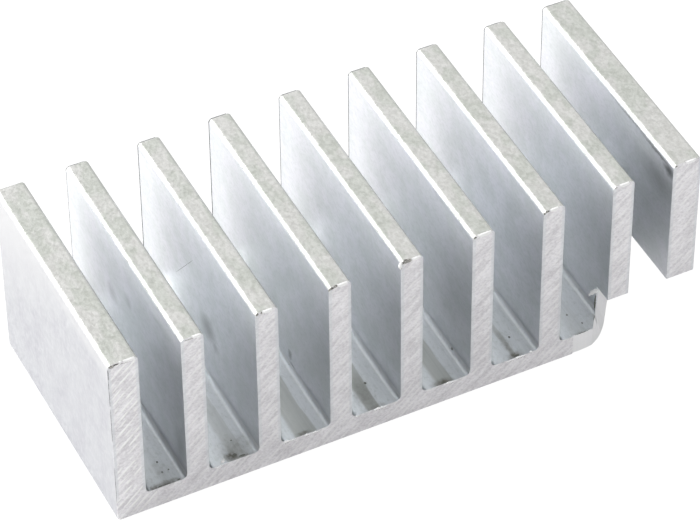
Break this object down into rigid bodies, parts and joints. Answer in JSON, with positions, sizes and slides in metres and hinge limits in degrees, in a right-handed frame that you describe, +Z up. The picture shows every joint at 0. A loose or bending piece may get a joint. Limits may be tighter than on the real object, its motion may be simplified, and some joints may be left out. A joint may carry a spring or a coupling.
{
  "type": "extruded heat sink",
  "caption": "Straight-finned extruded aluminium heat sink with a flat foot, sawn ends and one corner of the base relieved under the last fins.",
  "frame": {"origin": "centre of the flat foot, at the middle of the overall width and of the cut length", "axes": "+X along the row of fins towards the relieved corner, +Y along the channels from the sawn front face to the back, +Z up from the foot to the fin tips"},
  "size_m": [0.06, 0.0254, 0.02],
  "materials": {
    "metal": "mill-finish extrusion with coarse sawn ends and one milled relief"
  },
  "bodies": {
    "root": {"heat_sink": "metal"}
  },
  "joints": []
}
